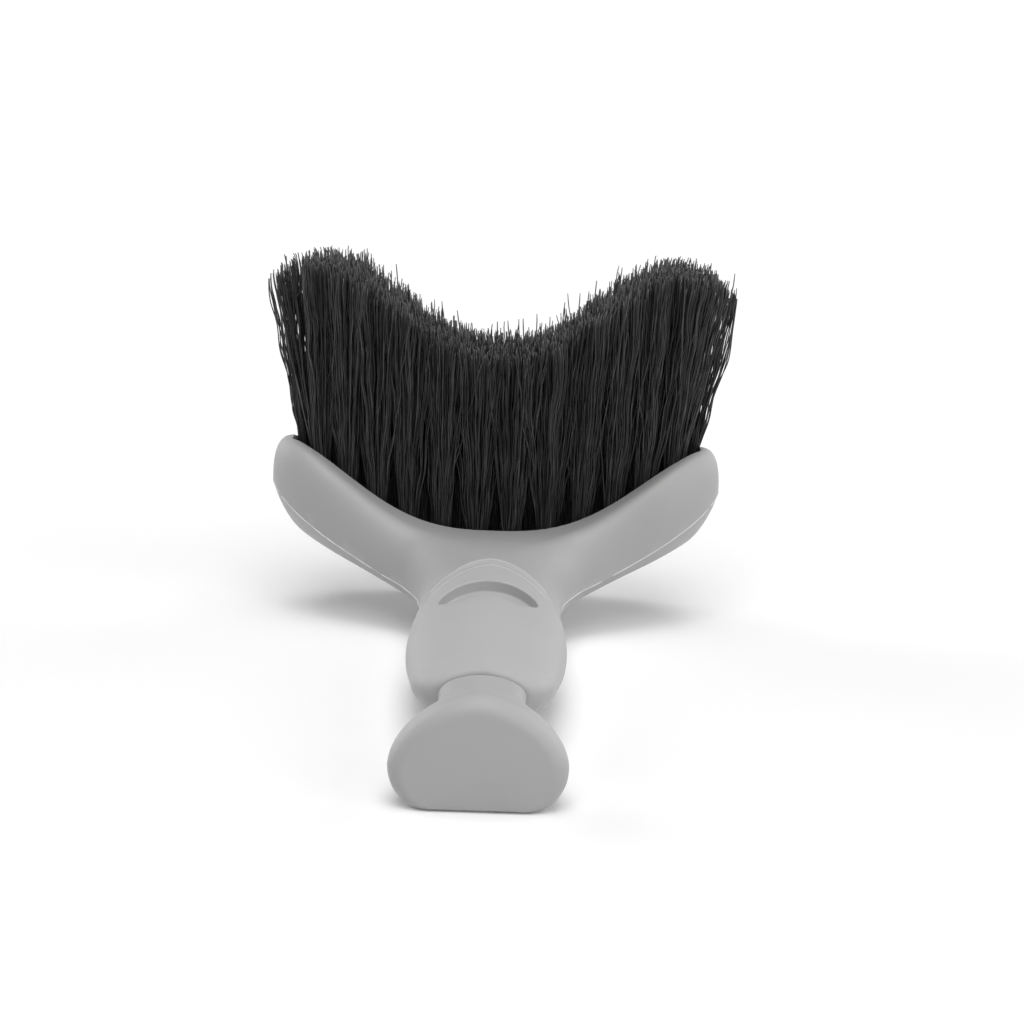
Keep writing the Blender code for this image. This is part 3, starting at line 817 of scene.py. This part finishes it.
def handle_rows():
    """The moulding from the pommel to the head's back, stepping down into the sleeve's seat."""
    seat = GRIP_WALL + PIECE_GAP
    near_shelf_end = GRIP_START_AT + SHELF_LENGTH
    far_shelf_start = GRIP_END_AT - SHELF_LENGTH
    rows = end_rows(0.0, 1, POMMEL_EDGE_RADIUS)[:-1]
    rows += [(at, 0.0, 0.0) for at in evenly(POMMEL_EDGE_RADIUS, GRIP_START_AT - NEAR_GROOVE_EDGE)]
    rows += edge_down(GRIP_START_AT, 1, 0.0, NEAR_GROOVE_EDGE)
    rows += [(GRIP_START_AT, 0.0, GROOVE_DEPTH), (near_shelf_end, 0.0, GROOVE_DEPTH)]
    rows += [(at, 0.0, seat) for at in evenly(near_shelf_end + RAMP_LENGTH, far_shelf_start - RAMP_LENGTH)]
    rows += [(far_shelf_start, 0.0, GROOVE_DEPTH), (GRIP_END_AT, 0.0, GROOVE_DEPTH)]
    rows += edge_down(GRIP_END_AT, -1, CHANNEL_DEPTH, GROOVE_EDGE)[::-1]
    for at in evenly(GRIP_END_AT + GROOVE_EDGE, HEAD_BACK_AT - HEAD_EDGE_RADIUS)[1:]:
        rows.append((at, 0.0, channel_depth(at - GRIP_END_AT)))
    rows += end_rows(HEAD_BACK_AT, -1, HEAD_EDGE_RADIUS)[::-1]
    return rows


def highlight_band_faces(rows, rings, gap_at, reach):
    """Which faces lie on the band of painted highlight beside the gap at this place, over the middle of the
    top.
    """
    rows = np.array(rows)
    away = np.abs(rows[:, 0] - gap_at)
    on_band = (away > HIGHLIGHT_BAND_FROM) & (away < reach) & (rows[:, 2] < CHANNEL_DEPTH)
    middle = (np.abs(rings[..., 0]) < HIGHLIGHT_BAND_HALF_WIDTH) & (rings[..., 2] > COLLAR_SIDE_HEIGHT)
    points = on_band[:, None] & middle
    return points[:-1] & points[1:]


def flash_size(along, chance):
    """Height of the flash along the parting line: only on the arms, and ragged."""
    count = math.ceil(HEAD_BACK_AT / FLASH_LUMP)
    lumps = np.interp(along, np.linspace(0, HEAD_BACK_AT, count), chance.random(count) ** FLASH_POWER)
    window = smooth_step(FLASH_FROM_AT, FLASH_FROM_AT + FLASH_FADE, along)
    window = window * (1 - smooth_step(FLASH_TO_AT, FLASH_TO_AT + FLASH_FADE, along))
    return FLASH_HEIGHT * lumps * window


def fin_lines(line, side, height):
    """The three lines of a fin of this height along a line: its edge between its two feet."""
    turned = np.array(((0, -side, 0), (side, 0, 0), (0, 0, 0)))
    outwards = np.gradient(line, axis=0) @ turned
    outwards /= np.maximum(np.linalg.norm(outwards, axis=1), NO_LENGTH)[:, None]
    outwards[height == 0] = 0
    foot = np.array((0, 0, FLASH_HALF_THICKNESS * side))
    return [line - foot, line + outwards * height[:, None], line + foot]


def with_flash(rings, edge, chance):
    """Splits each ring's edge points into a thin fin that stands out along the parting line.

    Returns the rings, and the number of the first of each fin's three columns.
    """
    along = rings[:, edge, 1] + HANDLE_MIDDLE
    sides = {edge: 1, rings.shape[1] - edge: -1}
    columns = []
    fins = []
    for column in range(rings.shape[1]):
        line = rings[:, column]
        if column not in sides:
            columns.append(line)
            continue
        fins.append(len(columns))
        columns += fin_lines(line, sides[column], flash_size(along, chance))
    return np.stack(columns, axis=1), fins


def flash_faces(rings, fins):
    """Which faces are on a fin, in the rows where the right one stands out; these get the flash's painted
    glow.
    """
    right = fins[0]
    raised = np.abs(rings[:, right + 1] - rings[:, right])[:, :2].sum(axis=1) > FLASH_SEEN
    faces = np.zeros((len(rings) - 1, rings.shape[1]), bool)
    for fin in fins:
        faces[:, fin : fin + 2] = (raised[:-1] & raised[1:])[:, None]
    return faces


def mouth_height(x):
    """Height of the sockets' mouths, a little below the lip. The tray's floor is sunk further."""
    return deck_height(x, FRONT_ROW_AT) - MOUTH_DEPTH


def row_at(row, x):
    """Place of a row along the handle: its ends curve back with the horns, less in each row behind."""
    curve = ROW_CURVE * (1 - row / (len(ROW_TUFTS) - 1))
    return FRONT_ROW_AT + row * ROW_PITCH + curve * np.abs(x / LONG_ROW_HALF_SPAN) ** ROW_CURVE_POWER


def tray_cutter():
    reach = PLUG_RADIUS + TRAY_MARGIN
    half = LONG_ROW_HALF_SPAN + reach
    x = np.linspace(-half, half, TRAY_COLUMNS)
    front = row_at(0, x) - reach
    widest = np.array([OUTLINE[OUTLINE[:, 0] >= width + TRAY_RIM, 1].max() for width in np.abs(x)])
    back = np.minimum(widest, HEAD_BACK_AT - TRAY_BACK_RIM)
    floor = mouth_height(x) - TRAY_SINK
    above = floor + CUT_OVERRUN
    corners = [(front, floor), (back, floor), (back, above), (front, above)]
    points = np.stack([np.stack([x, along - HANDLE_MIDDLE, z], axis=1) for along, z in corners], axis=1)
    faces = quads(*points.shape[:2], closed=False) + end_faces(*points.shape[:2])
    cutter = new_piece("tray", points.reshape(-1, 3), faces)
    face_outwards(cutter)
    return cutter


def socket_cutter(frames):
    bm = bmesh.new()
    depth = PLUG_LENGTH + SOCKET_CLEARANCE
    middle = Matrix.Translation((0, 0, (SOCKET_OVERRUN - depth) / 2))
    for _, place in frames:
        bmesh.ops.create_cone(
            bm,
            cap_ends=True,
            segments=SOCKET_SIDES,
            radius1=PLUG_RADIUS + SOCKET_CLEARANCE,
            radius2=PLUG_RADIUS + SOCKET_CLEARANCE,
            depth=depth + SOCKET_OVERRUN,
            matrix=place @ middle,
        )
    mesh = bpy.data.meshes.new("sockets")
    bm.to_mesh(mesh)
    bm.free()
    cutter = bpy.data.objects.new("sockets", mesh)
    bpy.context.scene.collection.objects.link(cutter)
    return cutter


def make_handle(frames, plastic, flash, highlight_band):
    """The moulding, with flash on its arms, a tray behind its lip and a socket for each tuft."""
    rows = handle_rows()
    rings, edge = sections(rows)
    rings, fins = with_flash(rings, edge, np.random.default_rng(BRISTLE_SEED))
    faces = quads(*rings.shape[:2], closed=False) + end_faces(*rings.shape[:2])
    materials = (plastic, flash, highlight_band)
    # The fins get the flash's painted glow, and the band beside the seam gets the painted highlight
    places = [flash_faces(rings, fins), highlight_band_faces(rows, rings, GRIP_END_AT, HANDLE_HIGHLIGHT_BAND_TO)]
    paints = np.select(places, [materials.index(flash), materials.index(highlight_band)])
    paints = np.append(paints.ravel(), [materials.index(plastic)] * 2)
    piece = new_piece("handle_and_head_skin", rings.reshape(-1, 3), faces, materials, paints)
    face_outwards(piece)
    cut(piece, tray_cutter())
    cut(piece, socket_cutter(frames))
    smooth(piece)
    hand_over(piece, "handle_and_head")


def sleeve_rows():
    """The sleeve's closed profile: out along its skin, and back along its bore."""
    start = GRIP_START_AT + NEAR_GROOVE_WIDTH
    end = GRIP_END_AT - GROOVE_WIDTH
    near_shelf_end = start + SHELF_LENGTH + GROOVE_WIDTH
    far_shelf_start = end - SHELF_LENGTH - GROOVE_WIDTH
    thin = GROOVE_DEPTH - PIECE_GAP
    rows = [(start, 0.0, thin)]
    rows += edge_down(start, -1, 0.0, NEAR_GROOVE_EDGE)[::-1]
    for at in evenly(start + NEAR_GROOVE_EDGE, end - GROOVE_EDGE)[1:]:
        rows.append((at, 0.0, channel_depth(end - at)))
    rows += edge_down(end, 1, CHANNEL_DEPTH, GROOVE_EDGE)
    rows += [(end, 0.0, thin), (far_shelf_start, 0.0, thin)]
    back = evenly(near_shelf_end + RAMP_LENGTH, far_shelf_start - RAMP_LENGTH)[::-1]
    rows += [(at, 0.0, GRIP_WALL) for at in back]
    rows.append((near_shelf_end, 0.0, thin))
    return rows


def recess_oval(wide, long):
    """Places round an oval of these half sizes over the middle of the recess, as (x, along)."""
    angles = np.linspace(0, 2 * math.pi, RECESS_SIDES, endpoint=False)
    return np.stack([wide * np.cos(angles), RECESS_AT + long * np.sin(angles)], axis=1)


def recess_profile():
    """The bowl from above its rounded rim to its rounded foot, as (distance outside the oval, depth)."""
    turns = quarter_turns(FILLET_ROWS)
    profile = [(RECESS_EDGE, -RECESS_DEPTH)]
    for turn in turns:
        profile.append((RECESS_EDGE * (1 - math.sin(turn)), RECESS_EDGE * (1 - math.cos(turn))))
    for turn in turns:
        foot = RECESS_DEPTH - RECESS_FOOT * (1 - math.sin(turn))
        profile.append((-RECESS_FOOT * (1 - math.cos(turn)), foot))
    return profile


def recess_cutter():
    """Oval bowl that follows the grip's skin, with rings that run in over its floor."""
    ovals = [(RECESS_HALF_WIDTH + out, RECESS_HALF_LENGTH + out, depth) for out, depth in recess_profile()]
    wide, long, _ = ovals[-1]
    for ring in range(1, RECESS_RINGS):
        share = 1 - ring / RECESS_RINGS
        ovals.append((wide * share, long * share, RECESS_DEPTH))
    places = np.stack([recess_oval(wide, long) for wide, long, _ in ovals])
    height = top_height(places, 0.0, depth_inside(places)) - np.array(ovals)[:, 2:]
    points = np.concatenate([places - (0, HANDLE_MIDDLE), height[..., None]], axis=2)
    faces = quads(*points.shape[:2], closed=False) + end_faces(*points.shape[:2])
    cutter = new_piece("recess", points.reshape(-1, 3), faces)
    face_outwards(cutter)
    return cutter


def make_sleeve(rubber, highlight_band):
    """The grip's sleeve, with a mould line along its crest and the recess in its top."""
    rows = sleeve_rows()
    rings, _ = sections(rows)
    crest = rings.shape[1] // 2
    outer = rings[:, crest, 2] > GRIP_HEIGHT - GRIP_WALL
    rings[outer, crest, 2] += MOULD_LINE_HEIGHT
    materials = (rubber, highlight_band)
    paints = np.zeros(rings.shape[:2], int)
    # The band beside the seam gets the painted highlight
    highlight_bands = highlight_band_faces(rows, rings, GRIP_END_AT - GROOVE_WIDTH, SLEEVE_HIGHLIGHT_BAND_TO)
    paints[:-1][highlight_bands] = materials.index(highlight_band)
    faces = quads(*rings.shape[:2], closed=True)
    piece = new_piece("soft_grip_skin", rings.reshape(-1, 3), faces, materials, paints.ravel())
    face_outwards(piece)
    cut(piece, recess_cutter())
    smooth(piece)
    hand_over(piece, "soft_grip")


# Bristles
def lip_places(count):
    """Evenly spaced places along the curved lip, as distances across the head."""
    span = np.linspace(-LONG_ROW_HALF_SPAN, LONG_ROW_HALF_SPAN, LIP_STEPS + 1)
    height = mouth_height(span)
    lengths = np.concatenate([[0], np.cumsum(np.hypot(np.diff(span), np.diff(height)))])
    most = max(ROW_TUFTS)
    pitch = lengths[-1] / (most - 1)
    first = (most - count) * pitch / 2
    return [float(span[np.abs(lengths - first - i * pitch).argmin()]) for i in range(count)]


def tip_height(x):
    """Height of the trimmed bristle face over this place across the head."""
    share = np.minimum(np.abs(x) / TIP_HUMP_AT, 1.0)
    past = np.maximum(np.abs(x) - TIP_HUMP_AT, 0.0) / (TIP_END_AT - TIP_HUMP_AT)
    rise = np.sin(math.pi / 2 * share**TIP_POWER) ** 2
    return TIP_VALLEY_HEIGHT + TIP_RISE * rise - TIP_END_FALL * past * past


def splay(x, most=SPLAY, span=LONG_ROW_HALF_SPAN):
    """Sideways tilt of a tuft: slight in the middle of the head, and full only at its ends."""
    way = x / span
    return most * blend(way**SPLAY_POWER, way, INNER_SPLAY_SHARE)


def strand_splay(x):
    """Sideways tilt of a single filament: a tuft at the end of the head fans out more on its outer side."""
    most = np.where(x > 0, STRAND_SPLAY_RIGHT, STRAND_SPLAY_LEFT)
    return splay(x, most, LONG_ROW_HALF_SPAN + PLUG_RADIUS)


def tuft_frames():
    """Each tuft's number with the frame of its socket: origin in its mouth, Z out along the bristles."""
    frames = []
    for row, count in enumerate(ROW_TUFTS):
        lean = LEAN * (2 * row / (len(ROW_TUFTS) - 1) - 1)
        for number, x in enumerate(lip_places(count), 1):
            turn = Euler((-lean, splay(x), 0))
            place = Vector((x, float(row_at(row, x)) - HANDLE_MIDDLE, float(mouth_height(x))))
            frames.append((f"row{row + 1}_{number:02d}", Matrix.LocRotScale(place, turn, None)))
    return frames


def waves(chance, count, size, length):
    """Which way and how far each of so many strands waves, over what length and from where."""
    turn = chance.uniform(0, 2 * math.pi, count)
    swing = size * chance.uniform(*WAVE_SWINGS, count)
    reach = np.stack([swing * np.cos(turn), swing * np.sin(turn)], axis=1)
    return reach, length * chance.uniform(*WAVE_LENGTHS, count), chance.uniform(0, 2 * math.pi, count)


def waved(heights, reach, length, phase):
    """Sideways offsets of waving strands at these heights, as (strand, point, xy)."""
    swing = np.sin(2 * math.pi * heights / length[:, None] + phase[:, None])
    return (swing * np.clip(heights / WAVE_RAMP, 0, 1))[..., None] * reach[:, None]


def held_inside(points):
    """Eases points back so that none leaves the box that the brush fits."""
    low = np.array(CAD_LOW) + BOX_MARGIN
    high = np.array(CAD_HIGH) - BOX_MARGIN
    over = np.maximum(points - (high - BOX_EASE), 0)
    points = np.where(over > 0, high - BOX_EASE * np.exp(-over / BOX_EASE), points)
    under = np.maximum(low + BOX_EASE - points, 0)
    return np.where(under > 0, low + BOX_EASE * np.exp(-under / BOX_EASE), points)


def filament_roots(chance):
    """Where one tuft's filaments leave its socket, spread by the golden angle, as (filament, xy)."""
    order = np.arange(FILAMENTS)
    turn = order * math.pi * (3 - math.sqrt(5)) + chance.uniform(0, 2 * math.pi)
    radius = (PLUG_RADIUS - FILAMENT_RADIUS) * np.sqrt((order + 0.5) / FILAMENTS)
    return np.stack([radius * np.cos(turn), radius * np.sin(turn)], axis=1)


def filament_tips(place, root, seeds, lock, stray, chance):
    """How far sideways the filaments end, as (filament, xy).

    Each leans by chance, on its own and with its lock, gathers to the lock's seed, and fans out by its
    place on the head.
    """
    lean = chance.normal(0, 1, (FILAMENTS, 2)) * np.where(stray, STRAY_LEAN, FILAMENT_LEAN)[:, None]
    lean += chance.normal(0, LOCK_LEAN, (LOCKS, 2))[lock]
    tip = FILAMENT_SPREAD * blend(root, seeds[lock], LOCK_PULL) + lean
    middle = place.translation.x
    reach = float(tip_height(middle)) - place.translation.z
    tip[:, 0] += reach * (np.tan(strand_splay(middle + root[:, 0])) - math.tan(splay(middle)))
    return tip


def filament_lengths(place, tip, stray, chance):
    """Lengths that end the filaments on the trimmed face, give or take, with the strays standing over it."""
    matrix = np.array(place)
    rise = matrix[:3, 2]
    start = matrix[:3, 3] + tip @ matrix[:3, :2].T
    trim = chance.normal(0, TRIM_ERROR, FILAMENTS)
    trim = trim + stray * STRAY_LENGTH * chance.random(FILAMENTS) ** STRAY_POWER
    length = np.full(FILAMENTS, TIP_VALLEY_HEIGHT - place.translation.z)
    for _ in range(TRIM_PASSES):
        length = (tip_height(start[:, 0] + rise[0] * length) + trim - start[:, 2]) / rise[2]
    return length


def filament_lines(place, chance):
    """Middle lines of one tuft's filaments, in the socket's frame, as (filament, point, xyz)."""
    root = filament_roots(chance)
    seeds = root[chance.choice(FILAMENTS, LOCKS, replace=False)]
    lock = np.linalg.norm(root[:, None] - seeds, axis=2).argmin(axis=1)
    stray = chance.random(FILAMENTS) < STRAY_SHARE
    tip = filament_tips(place, root, seeds, lock, stray, chance)
    length = filament_lengths(place, tip, stray, chance)

    way = np.linspace(0, 1, FILAMENT_POINTS)
    heights = blend(-FILAMENT_ROOT, length[:, None], way)
    flat = blend(root[:, None], tip[:, None], way[:, None])
    flat = flat + waved(heights, *waves(chance, FILAMENTS, *FILAMENT_WAVE))
    reach, wave, phase = waves(chance, LOCKS, *LOCK_WAVE)
    flat = flat + waved(heights, reach[lock], wave[lock], phase[lock])
    return np.concatenate([flat, heights[..., None]], axis=2)


def filament_faces():
    """Faces of one tuft's filaments, each a closed tube."""
    tube = quads(FILAMENT_POINTS, FILAMENT_SIDES, closed=False)
    root, tip = end_faces(FILAMENT_POINTS, FILAMENT_SIDES)
    tube += [root[::-1], tip]
    starts = range(0, FILAMENTS * FILAMENT_POINTS * FILAMENT_SIDES, FILAMENT_POINTS * FILAMENT_SIDES)
    return [[start + point for point in face] for start in starts for face in tube]


def make_tuft(number, place, surface, chance):
    """One tuft as a mesh of thin tubes round its filaments' middle lines, each with its own shade."""
    centre = filament_lines(place, chance)
    corner = 2 * math.pi * np.arange(FILAMENT_SIDES) / FILAMENT_SIDES
    turned = corner + chance.uniform(0, math.pi, (FILAMENTS, 1))
    ring = FILAMENT_RADIUS * np.stack([np.cos(turned), np.sin(turned), np.zeros_like(turned)], axis=-1)
    matrix = np.array(place)
    line = held_inside(centre @ matrix[:3, :3].T + matrix[:3, 3])
    size = np.ones((FILAMENT_POINTS, 1, 1))
    size[-1] = TIP_SIZE
    points = line[:, :, None] + size * (ring @ matrix[:3, :3].T)[:, None]

    piece = new_piece(f"bristles_{number}", points.reshape(-1, 3), filament_faces(), (surface,))
    shade = piece.data.attributes.new("shade", "FLOAT", "POINT")
    shades = np.repeat(chance.random(FILAMENTS), FILAMENT_POINTS * FILAMENT_SIDES)
    shade.data.foreach_set("value", shades.astype(np.float32))
    piece.data.shade_smooth()
    hand_over(piece, f"bristle_tuft_{number}")


# Floor, light and camera
def seen_directly(tree):
    """1 for what the camera sees, also in gloss and through glass, and 0 for the light on the object."""
    path = tree.nodes.new("ShaderNodeLightPath")
    seen = path.outputs["Is Camera Ray"]
    for ray in ("Is Glossy Ray", "Is Transmission Ray"):
        either = tree.nodes.new("ShaderNodeMath")
        either.operation = "MAXIMUM"
        tree.links.new(seen, either.inputs[0])
        tree.links.new(path.outputs[ray], either.inputs[1])
        seen = either.outputs[0]
    return seen


def floor_surface():
    """Matt white paper that glows a little where it is seen, and that can't be seen from below."""
    made, tree, shader = new_material("floor")
    shader.inputs["Base Color"].default_value = grey(FLOOR_TONE)
    shader.inputs["Roughness"].default_value = 1.0
    shader.inputs["Specular IOR Level"].default_value = 0.0
    glow = tree.nodes.new("ShaderNodeEmission")
    tree.links.new(value_range(tree, seen_directly(tree), (0.0, FLOOR_GLOW)), glow.inputs["Strength"])
    both = tree.nodes.new("ShaderNodeAddShader")
    tree.links.new(shader.outputs[0], both.inputs[0])
    tree.links.new(glow.outputs[0], both.inputs[1])
    clear = tree.nodes.new("ShaderNodeBsdfTransparent")
    geometry = tree.nodes.new("ShaderNodeNewGeometry")
    choose = tree.nodes.new("ShaderNodeMixShader")
    tree.links.new(geometry.outputs["Backfacing"], choose.inputs[0])
    tree.links.new(both.outputs[0], choose.inputs[1])
    tree.links.new(clear.outputs[0], choose.inputs[2])
    tree.links.new(choose.outputs[0], tree.nodes["Material Output"].inputs["Surface"])
    return made


def make_floor():
    half = FLOOR_HALF_SIZE
    corners = [(-half, -half, 0), (half, -half, 0), (half, half, 0), (-half, half, 0)]
    new_piece("floor", corners, [(0, 1, 2, 3)], (floor_surface(),))


def make_world():
    """White backdrop that is seen and mirrored, while the lamps alone light the object."""
    world = bpy.data.worlds.new("studio")
    bpy.context.scene.world = world
    world.use_nodes = True
    tree = world.node_tree
    background = tree.nodes["Background"]
    background.inputs["Color"].default_value = grey(1.0)
    tree.links.new(seen_directly(tree), background.inputs["Strength"])


def make_lamps():
    for name, round_degrees, up_degrees, energy in LAMPS:
        data = bpy.data.lights.new(name, "SUN")
        data.energy = energy
        data.angle = LAMP_ANGLE
        lamp = bpy.data.objects.new(name, data)
        bpy.context.scene.collection.objects.link(lamp)
        turn, up = math.radians(round_degrees), math.radians(up_degrees)
        towards = Vector((math.sin(turn) * math.cos(up), -math.cos(turn) * math.cos(up), math.sin(up)))
        lamp.rotation_euler = towards.to_track_quat("Z", "Y").to_euler()


def make_camera():
    level, drop = math.cos(CAMERA_PITCH), math.sin(CAMERA_PITCH)
    ahead = Vector((math.sin(CAMERA_YAW) * level, math.cos(CAMERA_YAW) * level, -drop))
    right = Vector((math.cos(CAMERA_YAW), -math.sin(CAMERA_YAW), 0))
    up = right.cross(ahead)
    data = bpy.data.cameras.new("camera")
    data.sensor_width = CAMERA_SENSOR
    data.lens = CAMERA_LENS
    camera = bpy.data.objects.new("camera", data)
    bpy.context.scene.collection.objects.link(camera)
    across_view = right * math.cos(CAMERA_ROLL) + up * math.sin(CAMERA_ROLL)
    up_view = up * math.cos(CAMERA_ROLL) - right * math.sin(CAMERA_ROLL)
    turn = Matrix((across_view, up_view, -ahead)).transposed()
    camera.matrix_world = Matrix.LocRotScale(Vector(CAMERA_PLACE), turn, None)
    bpy.context.scene.camera = camera


def main():
    bpy.context.scene.view_settings.view_transform = "Standard"
    make_camera()
    make_world()
    make_lamps()
    make_floor()
    frames = tuft_frames()
    highlight_band = painted_highlight_surface()
    make_handle(frames, moulded_surface("plastic", **PLASTIC), flash_surface(), highlight_band)
    make_sleeve(moulded_surface("rubber", **RUBBER), highlight_band)
    filament = filament_surface()
    chance = np.random.default_rng(BRISTLE_SEED)
    for number, place in frames:
        make_tuft(number, place, filament, chance)


main()
